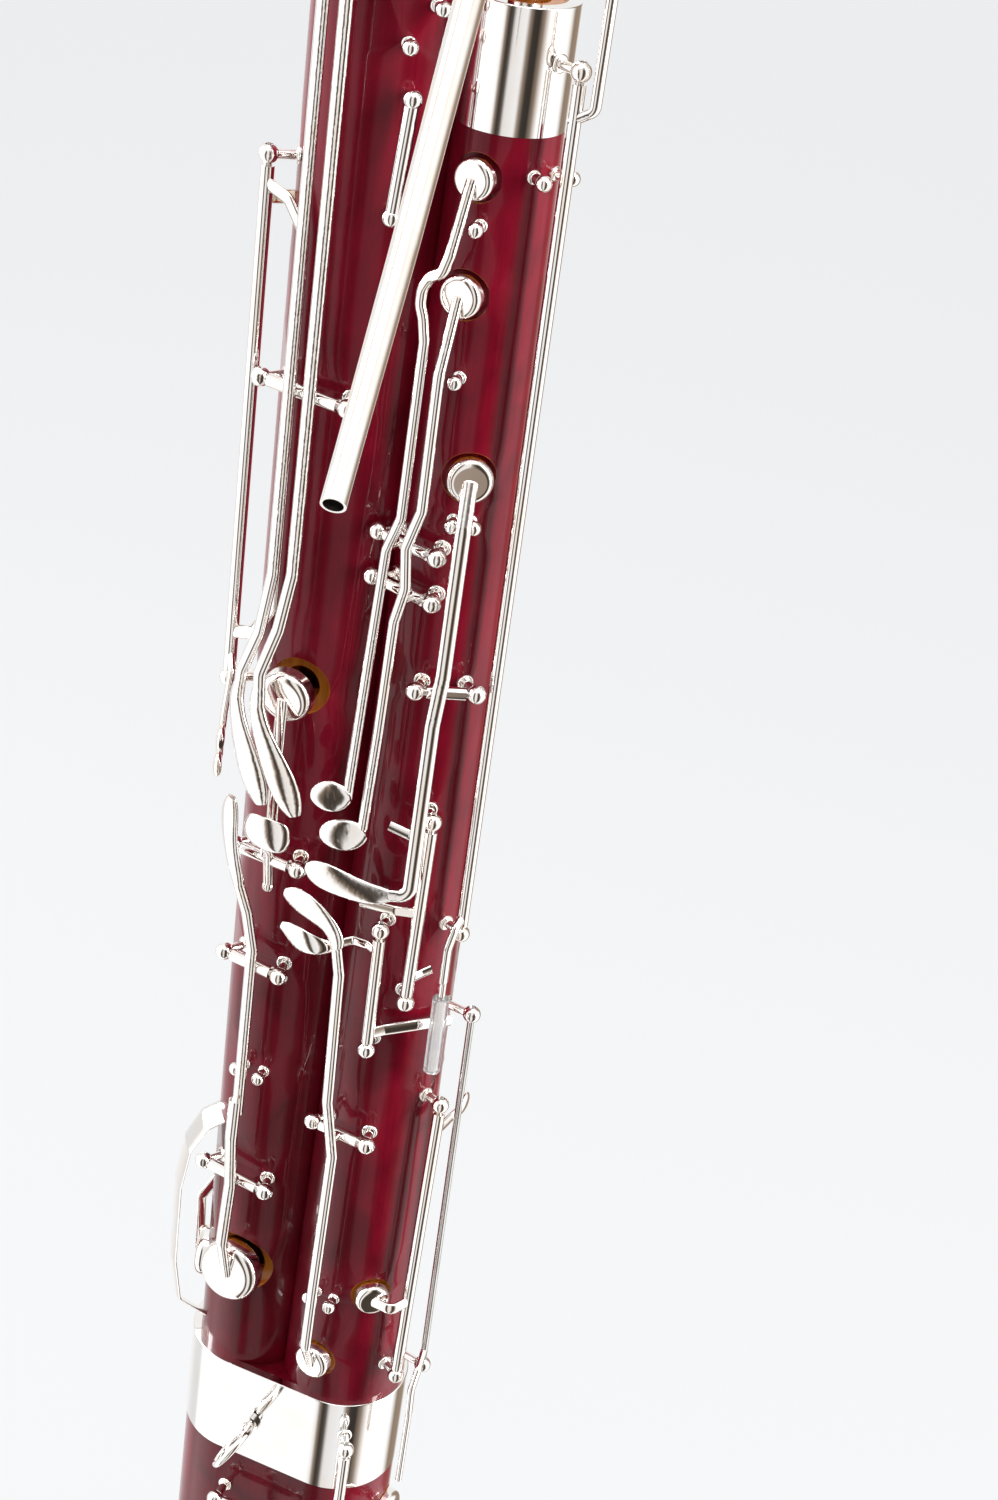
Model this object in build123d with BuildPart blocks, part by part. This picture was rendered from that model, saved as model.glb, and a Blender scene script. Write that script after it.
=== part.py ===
from build123d import *
from math import cos, degrees, radians, sin, sqrt
import os

os.makedirs("parts", exist_ok=True)

# A bassoon standing on its boot cap. Millimetres; the origin is the centre of the cap's flat bottom,
# +Z runs up the bores to the bell, +X from the long joint to the wing joint, -Y is the thumb side.

# ---------------------------------------------------------------- driving dimensions
bore_spacing = 34.0
axis_x = {name: -bore_spacing / 2 for name in ("long", "bell", "long_lobe")}
axis_x |= {name: bore_spacing / 2 for name in ("wing", "wing_lobe")}

boot_top = 440.0
boot_radius = 22.0
boot_bottom = 38.0
cap_height = 52.0
band_height = 39.0
metal_sheet = 0.8

wing_top = 910.0
wing_radius_low = 21.0
wing_radius_high = 14.4
wing_band_height = 32.0

long_top = 985.0
long_radius_low = 19.5
long_radius_high = 24.2

bell_top = 1340.0
bell_radius_low = 25.0

tenon_length = 34.0
wing_tenon_radius = 12.4
long_tenon_radius = 14.4
wrap_thickness = 1.2
socket_gap = 0.05

rod_radius = 1.1
rod_fit = 0.05
post_fit = 0.02
tube_radius = 1.95
ball_radius = 2.8
stem_radius = 1.4
shank_depth = 5.0
lever_width = 3.8
lever_depth = 2.8
slim_width = 3.2
cup_wall = 0.7
pad_thickness = 2.6
pad_gap = 0.05
cup_lift = 0.9


# ---------------------------------------------------------------- the wood's outer shape
def wood_radius(joint, height):
    """Outer radius of a joint's wood at a height."""
    if joint == "wing":
        share = (height - boot_top) / (wing_top - 10 - boot_top)
        return wing_radius_low + (wing_radius_high - wing_radius_low) * share
    if joint == "long":
        share = (height - boot_top) / (long_top - boot_top)
        return long_radius_low + (long_radius_high - long_radius_low) * share
    if joint == "bell":
        share = (height - long_top) / 120
        return bell_radius_low - 3.5 * share
    return boot_radius


def outward(angle):
    """Level unit direction, angle in degrees from +X."""
    return Vector(cos(radians(angle)), sin(radians(angle)), 0)


def spot(joint, angle, height, standoff):
    """Point a standoff outside the wood of a joint. The boot is a slot, so its x is measured instead."""
    if joint == "boot":
        x = angle
        lobe = max(-bore_spacing / 2, min(bore_spacing / 2, x))
        reach = boot_radius + abs(standoff)
        depth = sqrt(reach**2 - (x - lobe) ** 2)
        return Vector(x, depth if standoff > 0 else -depth, height)
    reach = wood_radius(joint, height) + standoff
    return Vector(axis_x[joint], 0, height) + outward(angle) * reach


def wood_axis(joint, point):
    """X of the upright axis that the wood is round about, nearest a point."""
    return axis_x[joint] if joint in axis_x else max(-bore_spacing / 2, min(bore_spacing / 2, point.X))


def foot_direction(joint, point):
    """Unit direction from a joint's axis to a point, level."""
    return Vector(point.X - wood_axis(joint, point), point.Y, 0).normalized()


def facing(origin, normal):
    """Plane at origin whose local z is normal and whose local y runs up the bassoon."""
    return Plane(origin=origin, x_dir=Vector(0, 0, 1).cross(normal), z_dir=normal)


# ---------------------------------------------------------------- key seats: joint, angle, height, pad radius
seats = {
    "upper_flick": ("wing", -94, 866, 5.0),
    "middle_flick": ("wing", -92, 834.5, 5.4),
    "lower_flick": ("wing", -61.5, 783.5, 5.9),
    "c_sharp_thumb": ("wing", -97, 457.5, 5.5),
    "e_flat_trill": ("wing", -52, 489.5, 5.0),
    "low_c": ("long", -88, 708, 7.4),
    "low_d": ("long", -93, 484, 10.0),
    "low_b": ("long", -62, 950, 8.6),
    "c_sharp": ("long", 172, 842, 6.5),
    "e_flat": ("long", -163, 470, 8.0),
    "low_b_flat": ("bell", -104, 1050, 9.5),
    "b_flat_thumb": ("wing_lobe", 0, 380, 6.5),
    "low_e": ("boot", -90, 352, 9.5),
    "f_sharp_thumb": ("boot", -90, 112, 7.0),
    "g": ("boot", 90, 222, 10.5),
}
seat_margin = 1.6


def seat_plane(name):
    """Plane of a pad seat, a little below the wood's surface, facing out."""
    joint, angle, height, pad_radius = seats[name]
    normal = outward(angle)
    if joint == "boot":
        return facing(Vector(0, 0, height) + normal * (boot_radius - 0.6), normal)
    seat_radius = pad_radius + seat_margin
    flat = sqrt(wood_radius(joint, height) ** 2 - seat_radius**2) - 0.3
    return facing(Vector(axis_x[joint], 0, height) + normal * flat, normal)


def cut_seats(joint):
    """Solids to cut from a joint's wood: each seat's recess and tone hole."""
    cutters = []
    for name, (seat_joint, angle, height, pad_radius) in seats.items():
        if seat_joint != joint:
            continue
        plane = seat_plane(name)
        with BuildPart(plane) as cutter:
            Cylinder(pad_radius + seat_margin, 14, align=(Align.CENTER, Align.CENTER, Align.MIN))
            Cylinder(pad_radius - 1.8, 13, align=(Align.CENTER, Align.CENTER, Align.MAX))
        cutters.append(cutter.part)
    return cutters


def pad_cup(name):
    """Metal cup that holds a pad over its seat."""
    pad_radius = seats[name][3]
    cup_radius = pad_radius + cup_wall
    cup_height = cup_lift + pad_thickness + 0.34 * cup_radius
    plane = seat_plane(name)
    base = Plane(origin=plane.origin + plane.z_dir * cup_lift, x_dir=plane.x_dir, z_dir=plane.z_dir)
    with BuildPart(base) as cup:
        Cylinder(cup_radius, cup_height - cup_lift, align=(Align.CENTER, Align.CENTER, Align.MIN))
        top = cup.faces().sort_by(Axis(base.origin, base.z_dir))[-1]
        fillet(top.edges(), 0.30 * cup_radius)
        Cylinder(
            pad_radius + pad_gap,
            pad_thickness - cup_lift + pad_gap,
            align=(Align.CENTER, Align.CENTER, Align.MIN),
            mode=Mode.SUBTRACT,
        )
    return cup.part


def cup_top(name):
    """Point at the middle of a cup's crown."""
    plane = seat_plane(name)
    return plane.origin + plane.z_dir * (pad_thickness + 0.34 * (seats[name][3] + cup_wall) + 0.3)


# ---------------------------------------------------------------- building blocks of the keywork
def arm(joint, route, width=lever_width, depth=lever_depth, bend=4.0):
    """Bar of oval section along a route of points, flat side facing the wood."""
    with BuildLine() as path:
        FilletPolyline(*route, radius=bend)
    along = (route[1] - route[0]).normalized()
    out = foot_direction(joint, route[0])
    with BuildPart() as bar:
        with BuildSketch(Plane(origin=route[0], x_dir=along.cross(out), z_dir=along)):
            Ellipse(width / 2, depth / 2)
        sweep(path=path.wire())
    return bar.part


def touch(joint, stations):
    """Smooth spatula through (point, width, depth) stations."""
    points = [point for point, _, _ in stations]
    with BuildPart() as spatula:
        for index, (point, width, depth) in enumerate(stations):
            before = points[max(index - 1, 0)]
            after = points[min(index + 1, len(points) - 1)]
            along = (after - before).normalized()
            out = foot_direction(joint, point)
            with BuildSketch(Plane(origin=point, x_dir=along.cross(out), z_dir=along)):
                Ellipse(width / 2, depth / 2)
        loft()
    return spatula.part


def knob(point, radius):
    """Ball at a point."""
    with BuildPart() as ball:
        with Locations(point):
            Sphere(radius)
    return ball.part


def strut(start, end, radius):
    """Round bar between two points."""
    span = end - start
    with BuildPart() as bar:
        with BuildSketch(Plane(origin=start, z_dir=span.normalized())):
            Circle(radius)
        extrude(amount=span.length)
    return bar.part


def along_rod(hinge, start, end):
    """Two points on a hinge line, measured in mm from its first ball and back from its last."""
    first, last = hinge
    unit = (last - first).normalized()
    return first + unit * start, last - unit * end


def hinge_tube(hinge, start=3.1, end=3.1, radius=tube_radius):
    """The key's tube round a hinge rod."""
    return strut(*along_rod(hinge, start, end), radius)


def saddle(hinge, crown, radius=1.6):
    """Short bar from a hinge line out to a point on the lever above it."""
    first, last = hinge
    unit = (last - first).normalized()
    foot = first + unit * (crown - first).dot(unit)
    return strut(foot, crown, radius)


def key(name, pieces, hinge):
    """Joins a key's pieces, bores its tube for the rod and writes it."""
    with BuildPart() as metal:
        for piece in pieces:
            add(piece)
        add(strut(*along_rod(hinge, -1, -1), rod_radius + rod_fit), mode=Mode.SUBTRACT)
    finish(metal.part, name)


def pad(name, turn=None):
    """Writes the leather pad of a seat, turned with its key when that stands open."""
    plane = seat_plane(name)
    base = Plane(origin=plane.origin + plane.z_dir * pad_gap, x_dir=plane.x_dir, z_dir=plane.z_dir)
    with BuildPart(base) as disc:
        Cylinder(seats[name][3], pad_thickness - pad_gap, align=(Align.CENTER, Align.CENTER, Align.MIN))
    finish(opened(disc.part, *turn) if turn else disc.part, name + "_pad")


def opened(piece, hinge, angle):
    """A piece turned about a hinge by an angle in degrees."""
    first, last = hinge
    return piece.rotate(Axis(first, last - first), angle)


def finish(piece, name):
    """Labels and writes one sub-part."""
    piece.label = name
    export_step(piece, f"parts/{name}.step")


# ---------------------------------------------------------------- hinge lines, ball centre to ball centre
hinges = {
    "upper_flick": (spot("wing", -131, 762, 7.5), spot("wing", -78.5, 762, 7.5)),
    "middle_flick": (spot("wing", -131, 748, 7.5), spot("wing", -78, 748, 7.5)),
    "lower_flick": (spot("wing", -81, 720, 7.5), spot("wing", -39, 720, 7.5)),
    "c_sharp_thumb": (spot("wing", -117, 557.5, 7.5), spot("wing", -73.5, 557.5, 7.5)),
    "whisper_touch": (spot("wing", -82, 594, 7.5), spot("wing", -83, 638, 7.5)),
    "whisper": (spot("wing", -24, 636, 7.0), Vector(37.6, -8.5, 897)),
    "lock_lever": (spot("wing", -60, 613.5, 7.5), spot("wing", -58, 678, 7.5)),
    "e_flat_trill": (spot("wing", -29, 457, 7.0), spot("wing", -21, 570, 7.0)),
    "e_link": (spot("wing", -8, 457, 9.5), spot("wing", -6, 603, 9.5)),
    "low_b_flat_lever": (spot("long", -127, 800, 8.5), spot("long", -71, 800, 8.5)),
    "low_b_lever": (spot("long", -127, 800, 8.5), spot("long", -71, 800, 8.5)),
    "low_c": (spot("long", -117, 650.5, 8), spot("long", -72, 650.5, 8)),
    "low_d_lever": (spot("long", -118, 610.5, 8), spot("long", -76.5, 610.5, 8)),
    "low_d": (spot("long", -124, 524, 7.5), spot("long", -71.5, 524, 7.5)),
    "low_b": (spot("long", -92, 929, 7.5), spot("long", -44, 929, 7.5)),
    "low_b_flat": (spot("bell", -128, 1010, 7.5), spot("bell", -80, 1010, 7.5)),
    "c_sharp": (spot("long", -140, 702, 8.5), spot("long", -140, 860, 8.5)),
    "e_flat": (spot("long", 150, 484, 8), spot("long", 150, 668, 8)),
    "b_flat_thumb": (spot("boot", 31.5, 262, -7), spot("boot", 31.5, 427, -7)),
    "low_e": (spot("boot", -13, 384, -8), spot("boot", 13, 384, -8)),
    "f_sharp_thumb": (spot("boot", -11, 150, -8), spot("boot", 11, 150, -8)),
    "g": (spot("boot", 17, 120, 8), spot("boot", 17, 250, 8)),
}

# ---------------------------------------------------------------- blanks: the wood before any cut
def cone_blank(joint, low, high, grow=0.0):
    """Tapered round solid with the outer shape of a joint between two heights."""
    with BuildPart() as blank:
        for height in (low, high):
            with BuildSketch(Plane.XY.offset(height)):
                with Locations((axis_x[joint], 0)):
                    Circle(wood_radius(joint, height) + grow)
        loft()
    return blank.part


def slot_blank(low, high, radius):
    """Solid with the boot's slot-shaped outline between two heights."""
    with BuildPart(Plane.XY.offset(low)) as blank:
        with BuildSketch(Plane.XY.offset(low)):
            SlotCenterToCenter(bore_spacing, 2 * radius)
        extrude(amount=high - low)
    return blank.part


def bore(joint, low, high, low_radius, high_radius):
    """Tapered bore of a joint between two heights."""
    return round_taper((axis_x[joint], 0), low, high, low_radius, high_radius)


def round_taper(centre, low, high, low_radius, high_radius):
    """Upright cone or cylinder between two heights."""
    with BuildPart() as taper:
        with BuildSketch(Plane.XY.offset(low)):
            with Locations(centre):
                Circle(low_radius)
        if low_radius == high_radius:
            extrude(amount=high - low)
        else:
            with BuildSketch(Plane.XY.offset(high)):
                with Locations(centre):
                    Circle(high_radius)
            loft()
    return taper.part


wing_x = axis_x["wing"]
long_x = axis_x["long"]
tenon_bottom = boot_top - tenon_length
long_clearance = 0.6

wing_blank = cone_blank("wing", boot_top, wing_top)
long_blank = cone_blank("long", boot_top, long_top)
boot_blank = slot_blank(boot_bottom, boot_top, boot_radius)
bell_blank = cone_blank("bell", long_top, long_top + 120)
band_low = wing_top - wing_band_height
wing_band_blank = round_taper((wing_x, 0), band_low, wing_top + 0.8, 14.8, 14.6)
boot_band_blank = slot_blank(boot_top - band_height, boot_top + 0.6, boot_radius + metal_sheet - 0.4)
blanks = {"wing": [wing_blank, wing_band_blank], "long": [long_blank], "boot": [boot_blank, boot_band_blank],
          "bell": [bell_blank]}

# ---------------------------------------------------------------- key posts and the rods between them
guide_spots = [
    ("wing", -83.5, 854, 5.0),
    ("wing", -84, 812, 5.0),
    ("wing", -71.5, 771, 5.0),
    ("wing", -55.5, 771, 5.0),
    ("wing", -37, 868, 5.6),
    ("wing", -7, 868, 5.6),
    ("wing", -104, 486, 5.0),
    ("wing", -86, 486, 5.0),
    ("long", -104, 567, 5.0),
    ("long", -85, 567, 5.0),
    ("long", -59, 897, 4.5),
    ("long", -44, 907, 4.5),
]
post_joints = {
    "wing": (
        "upper_flick middle_flick lower_flick c_sharp_thumb whisper_touch whisper lock_lever"
        " e_flat_trill e_link"
    ).split(),
    "long": "low_b_flat_lever low_c low_d_lever low_d low_b c_sharp e_flat".split(),
    "bell": ["low_b_flat"],
    "boot": "low_e f_sharp_thumb b_flat_thumb g".split(),
}
post_spots = [(joint, ball, hinges[name]) for joint, names in post_joints.items()
              for name in names for ball in hinges[name]]


def post_foot(joint, ball):
    """Point on the wood under a ball, and the direction from there to the ball."""
    away = foot_direction(joint, ball)
    return Vector(wood_axis(joint, ball), 0, ball.Z) + away * wood_radius(joint, ball.Z), away


def post(joint, ball, radius=ball_radius, hinge=None):
    """Ball post: domed collar on the wood, stem, ball, and a shank into the wood."""
    foot, away = post_foot(joint, ball)
    rod_run = (hinge[1] - hinge[0]).normalized() if hinge else Vector(0, 0, 1)
    with BuildPart() as pillar:
        with BuildSketch(Plane(origin=foot - away * 1.2, z_dir=away)):
            Circle(radius * 0.92)
        extrude(amount=2.4)
        fillet(pillar.edges().sort_by(Axis(foot, away))[-1], 0.8)
        for blank in blanks[joint]:
            add(blank, mode=Mode.SUBTRACT)
        add(strut(foot - away * shank_depth, ball, stem_radius))
        with Locations(Plane(origin=ball, x_dir=away + rod_run, z_dir=away.cross(rod_run))):
            Sphere(radius)
        if hinge:
            add(strut(*along_rod(hinge, -4, -4), rod_radius + post_fit), mode=Mode.SUBTRACT)
    return pillar.part


def shank_hole(joint, ball):
    """Hole in the wood for a post's shank."""
    foot, away = post_foot(joint, ball)
    return strut(foot - away * (shank_depth + post_fit), foot + away * 2, stem_radius + post_fit)


shank_holes = {joint: [] for joint in blanks}
posts = []
for joint, ball, hinge in post_spots:
    posts.append(post(joint, ball, hinge=hinge))
    shank_holes[joint].append(shank_hole(joint, ball))
for joint, angle, height, standoff in guide_spots:
    ball = spot(joint, angle, height, standoff)
    posts.append(post(joint, ball, radius=2.2))
    shank_holes[joint].append(shank_hole(joint, ball))

with BuildPart() as key_posts:
    for pillar in posts:
        add(pillar)
finish(key_posts.part, "key_posts")


def pivot_rod(hinge):
    """Steel rod through both balls of a hinge, with a screw slot in its end."""
    reach = 2.2
    first, last = along_rod(hinge, -reach, -reach)
    with BuildPart() as rod:
        add(strut(first, last, rod_radius))
        with BuildSketch(Plane(origin=last, z_dir=(first - last).normalized())):
            Rectangle(0.35, 3)
        extrude(amount=0.4, mode=Mode.SUBTRACT)
    return rod.part


with BuildPart() as pivot_rods:
    for names in post_joints.values():
        for name in names:
            add(pivot_rod(hinges[name]))
finish(pivot_rods.part, "pivot_rods")

# ---------------------------------------------------------------- boot joint
boot_recess = metal_sheet - 0.2
with BuildPart() as boot_body:
    add(boot_blank)
    for low, high in ((boot_bottom, cap_height), (boot_top - band_height, boot_top)):
        add(slot_blank(low, high, boot_radius + 2), mode=Mode.SUBTRACT)
        add(slot_blank(low, high, boot_radius - boot_recess))
    wing_socket = wing_tenon_radius + wrap_thickness + socket_gap
    long_socket = long_tenon_radius + wrap_thickness + socket_gap
    socket_floor = tenon_bottom - 2
    add(bore("wing", socket_floor, boot_top + 1, wing_socket, wing_socket), mode=Mode.SUBTRACT)
    add(bore("long", socket_floor, boot_top + 1, long_socket, long_socket), mode=Mode.SUBTRACT)
    add(bore("wing", boot_bottom - 1, socket_floor + 1, 7.4, 6.2), mode=Mode.SUBTRACT)
    add(bore("long", boot_bottom - 1, socket_floor + 1, 7.4, 9.0), mode=Mode.SUBTRACT)
    for cutter in cut_seats("boot") + cut_seats("wing_lobe") + shank_holes["boot"]:
        add(cutter, mode=Mode.SUBTRACT)
    for height in (318, 276):
        hole = strut(Vector(long_x, 4, height), Vector(long_x, 30, height), 3.6)
        add(hole, mode=Mode.SUBTRACT)
finish(boot_body.part, "boot_body")

with BuildPart() as boot_band:
    add(boot_band_blank)
    fillet(boot_band.edges().group_by(Axis.Z)[-1], 0.35)
    add(slot_blank(boot_top - band_height, boot_top, boot_radius - boot_recess + 0.02), mode=Mode.SUBTRACT)
    rim = slot_blank(boot_top - 1, boot_top + 1, boot_radius - 2.6)
    add(rim, mode=Mode.SUBTRACT)
    for cutter in [wing_blank, long_blank] + shank_holes["boot"]:
        add(cutter, mode=Mode.SUBTRACT)
finish(boot_band.part, "boot_band")

with BuildPart() as boot_cap:
    add(slot_blank(0, cap_height, boot_radius + metal_sheet - 0.4))
    fillet(boot_cap.edges().group_by(Axis.Z)[0], 2.0)
    add(slot_blank(metal_sheet, cap_height + 1, boot_radius - boot_recess + 0.02), mode=Mode.SUBTRACT)
finish(boot_cap.part, "boot_cap")

with BuildPart() as u_tube:
    plate_low = boot_bottom - 4
    add(slot_blank(plate_low, boot_bottom - 0.05, boot_radius - 2.5))
    with BuildSketch(Plane(origin=(wing_x, 0, plate_low), z_dir=(0, 0, -1))):
        Circle(8.6)
    revolve(axis=Axis((0, 0, plate_low), (0, 1, 0)), revolution_arc=180)
    with BuildSketch(Plane(origin=(wing_x, 0, plate_low), z_dir=(0, 0, -1))):
        Circle(7.4)
    revolve(axis=Axis((0, 0, plate_low), (0, 1, 0)), revolution_arc=180, mode=Mode.SUBTRACT)
    add(bore("wing", plate_low, boot_bottom + 1, 7.4, 7.4), mode=Mode.SUBTRACT)
    add(bore("long", plate_low, boot_bottom + 1, 7.4, 7.4), mode=Mode.SUBTRACT)
finish(u_tube.part, "u_tube")

# ---------------------------------------------------------------- wing joint
well_depth = 24
well_radius = 6.6
lining_top = 640
lining_wall = 1.4
wing_bore_low = 6.2
wing_bore_high = 4.6
band_recess = metal_sheet - 0.2

with BuildPart() as wing_body:
    add(wing_blank)
    for index, height in enumerate((545, 590, 650, 700)):
        with BuildSketch(Plane.XY.offset(height)):
            with Locations((wing_x + 1, (3, 13, 13, 3)[index])):
                Circle((17, 13.5, 13, 13.5)[index])
    loft()
    add(bore("wing", tenon_bottom, boot_top + 1, wing_tenon_radius, wing_tenon_radius))
    add(round_taper((wing_x, 0), band_low, wing_top + 1, 30, 30), mode=Mode.SUBTRACT)
    add(round_taper((wing_x, 0), band_low, wing_top, 14.4 - band_recess, 14.2 - band_recess))
    add(cone_blank("long", boot_top - 0.01, long_top, long_clearance), mode=Mode.SUBTRACT)
    add(bore("wing", tenon_bottom - 1, wing_top + 1, wing_bore_low, wing_bore_high), mode=Mode.SUBTRACT)
    add(bore("wing", wing_top - well_depth, wing_top + 1, well_radius, well_radius), mode=Mode.SUBTRACT)
    lining_space = wing_bore_low + lining_wall
    add(bore("wing", tenon_bottom - 1, lining_top, lining_space, lining_space), mode=Mode.SUBTRACT)
    for cutter in cut_seats("wing") + shank_holes["wing"]:
        add(cutter, mode=Mode.SUBTRACT)
    for height in (585, 620, 655):
        hole = strut(Vector(wing_x, 2, height - 5), Vector(wing_x, 34, height + 3), 2.6)
        add(hole, mode=Mode.SUBTRACT)
finish(wing_body.part, "wing_body")

with BuildPart() as wing_band:
    add(wing_band_blank)
    fillet(wing_band.edges().group_by(Axis.Z)[-1], 0.5)
    add(round_taper((wing_x, 0), band_low - 0.01, wing_top + 0.02, 13.82, 13.62), mode=Mode.SUBTRACT)
    add(round_taper((wing_x, 0), wing_top - 1, wing_top + 2, 11, 11), mode=Mode.SUBTRACT)
    for cutter in [cone_blank("long", boot_top, long_top, long_clearance)] + shank_holes["wing"]:
        add(cutter, mode=Mode.SUBTRACT)
finish(wing_band.part, "wing_band")

with BuildPart() as bore_lining:
    add(bore("wing", tenon_bottom, lining_top - 0.05, lining_space - 0.03, lining_space - 0.03))
    add(bore("wing", tenon_bottom - 1, lining_top + 1, wing_bore_low, 5.4), mode=Mode.SUBTRACT)
finish(bore_lining.part, "bore_lining")

# ---------------------------------------------------------------- long joint
long_bore_low = 9.2
long_bore_high = 12.4
top_tenon = 30.0
top_tenon_radius = 16.5
long_band_height = 14.0

with BuildPart() as long_body:
    add(long_blank)
    add(bore("long", tenon_bottom, boot_top + 1, long_tenon_radius, long_tenon_radius))
    long_band_low = long_top - long_band_height
    add(bore("long", long_band_low, long_top + 0.01, 30, 30), mode=Mode.SUBTRACT)
    add(bore("long", long_band_low - 0.5, long_top, 23.2, 23.2))
    add(bore("long", long_top - 1, long_top + top_tenon, top_tenon_radius, top_tenon_radius))
    add(bore("long", tenon_bottom - 1, long_top + top_tenon + 1, long_bore_low, long_bore_high),
        mode=Mode.SUBTRACT)
    for cutter in cut_seats("long") + shank_holes["long"]:
        add(cutter, mode=Mode.SUBTRACT)
finish(long_body.part, "long_body")

with BuildPart() as long_band:
    add(bore("long", long_band_low, long_top - 0.3, 24.6, 24.6))
    fillet(long_band.edges().group_by(Axis.Z)[-1], 0.5)
    fillet(long_band.edges().group_by(Axis.Z)[0], 0.5)
    add(bore("long", long_band_low - 1, long_top, 23.22, 23.22), mode=Mode.SUBTRACT)
finish(long_band.part, "long_band")

# ---------------------------------------------------------------- bell joint
bell_bore_low = 12.8
bell_bore_high = 17.5
bell_ring_height = 16.0
bell_socket_depth = top_tenon + 1
bell_sections = [(long_top, 25.0), (long_top + 120, 21.5), (long_top + 230, 20.6), (bell_top - 50, 22.0),
                 (bell_top - bell_ring_height, 23.4)]

with BuildPart() as bell_body:
    add(bell_blank)
    for height, radius in bell_sections[1:]:
        with BuildSketch(Plane.XY.offset(height)):
            with Locations((long_x, 0)):
                Circle(radius)
    loft()
    add(bore("bell", long_top - 1, long_top + bell_socket_depth, 17.75, 17.75), mode=Mode.SUBTRACT)
    add(bore("bell", long_top, bell_top + 1, bell_bore_low, bell_bore_high), mode=Mode.SUBTRACT)
    add(bore("bell", long_top - 1, long_top + 12, 30, 30), mode=Mode.SUBTRACT)
    with BuildSketch(Plane.XY.offset(long_top)):
        with Locations((long_x, 0)):
            Circle(24.2)
            Circle(17.75, mode=Mode.SUBTRACT)
    extrude(amount=12)
    for cutter in cut_seats("bell") + shank_holes["bell"]:
        add(cutter, mode=Mode.SUBTRACT)
finish(bell_body.part, "bell_body")

with BuildPart() as bell_band:
    add(bore("bell", long_top, long_top + 12 - 0.05, 25.6, 25.6))
    fillet(bell_band.edges().group_by(Axis.Z)[0], 0.6)
    fillet(bell_band.edges().group_by(Axis.Z)[-1], 0.6)
    add(bore("bell", long_top - 1, long_top + 13, 24.22, 24.22), mode=Mode.SUBTRACT)
finish(bell_band.part, "bell_band")

with BuildPart() as bell_ring:
    add(bore("bell", bell_top - bell_ring_height + 0.02, bell_top, 24.6, 24.2))
    fillet(bell_ring.edges().group_by(Axis.Z)[-1], 2.2)
    add(bore("bell", bell_top - bell_ring_height - 1, bell_top + 1, bell_bore_high, bell_bore_high),
        mode=Mode.SUBTRACT)
finish(bell_ring.part, "bell_ring")

wraps = [("wing", tenon_bottom, tenon_length, wing_tenon_radius),
         ("long", tenon_bottom, tenon_length, long_tenon_radius),
         ("bell", long_top, top_tenon, top_tenon_radius)]
with BuildPart() as tenon_wraps:
    for joint, low, length, radius in wraps:
        with BuildSketch(Plane.XY.offset(low + 3)):
            with Locations((axis_x[joint], 0)):
                Circle(radius + wrap_thickness)
                Circle(radius + 0.02, mode=Mode.SUBTRACT)
        extrude(amount=length - 6)
finish(tenon_wraps.part, "tenon_wraps")

# ---------------------------------------------------------------- bocal: the curved metal crook
bocal_lean = Vector(0.249, -0.968, 0)
bocal_thick = 4.7
bocal_thin = 2.65
bocal_wall = 0.55
bocal_start = wing_top - well_depth + 1
seat_length = 14.0


def bocal_point(reach, height):
    """Point in the bocal's upright plane, reach measured from the wing axis."""
    return Vector(wing_x, 0, height) + bocal_lean * reach


bocal_route = [bocal_point(0, bocal_start), bocal_point(0, 1010.6), bocal_point(155, 893),
               bocal_point(196, 866)]
tip_run = (bocal_route[3] - bocal_route[2]).normalized()
bocal_tip = bocal_route[3] + tip_run * seat_length


def crook(start_radius, end_radius):
    """Tapered round sweep along the bocal's route."""
    with BuildLine() as path:
        FilletPolyline(*bocal_route, radius=(30, 150))
    with BuildPart() as tube:
        with BuildSketch(Plane(origin=bocal_route[0], z_dir=(0, 0, 1))):
            Circle(start_radius)
        with BuildSketch(Plane(origin=bocal_route[3], z_dir=tip_run)):
            Circle(end_radius)
        sweep(path=path.wire(), multisection=True)
    return tube.part


bocal_outer = crook(bocal_thick, bocal_thin)
bocal_inner = crook(bocal_thick - bocal_wall, bocal_thin - bocal_wall)
with BuildPart() as bocal:
    add(bocal_outer)
    add(strut(bocal_route[3] - tip_run * 0.01, bocal_tip, bocal_thin))
    add(strut(Vector(wing_x, 0, 926), Vector(wing_x, 0, 928.4), 6.0))
    add(strut(Vector(wing_x, 3, 934), Vector(wing_x, 8.2, 934), 1.3))
    add(bocal_inner, mode=Mode.SUBTRACT)
    add(strut(bocal_route[3] - tip_run, bocal_tip + tip_run, bocal_thin - bocal_wall), mode=Mode.SUBTRACT)
    add(strut(bocal_route[0] - Vector(0, 0, 1), bocal_route[0] + Vector(0, 0, 0.5),
              bocal_thick - bocal_wall), mode=Mode.SUBTRACT)
    add(strut(Vector(wing_x, 2, 934), Vector(wing_x, 9, 934), 0.4), mode=Mode.SUBTRACT)
finish(bocal.part, "bocal")

with BuildPart() as bocal_cork:
    with BuildSketch(Plane.XY.offset(bocal_start + 1)):
        with Locations((wing_x, 0)):
            Circle(well_radius - 0.1)
            Circle(bocal_thick + 0.02, mode=Mode.SUBTRACT)
    extrude(amount=well_depth - 4)
finish(bocal_cork.part, "bocal_cork")

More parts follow.
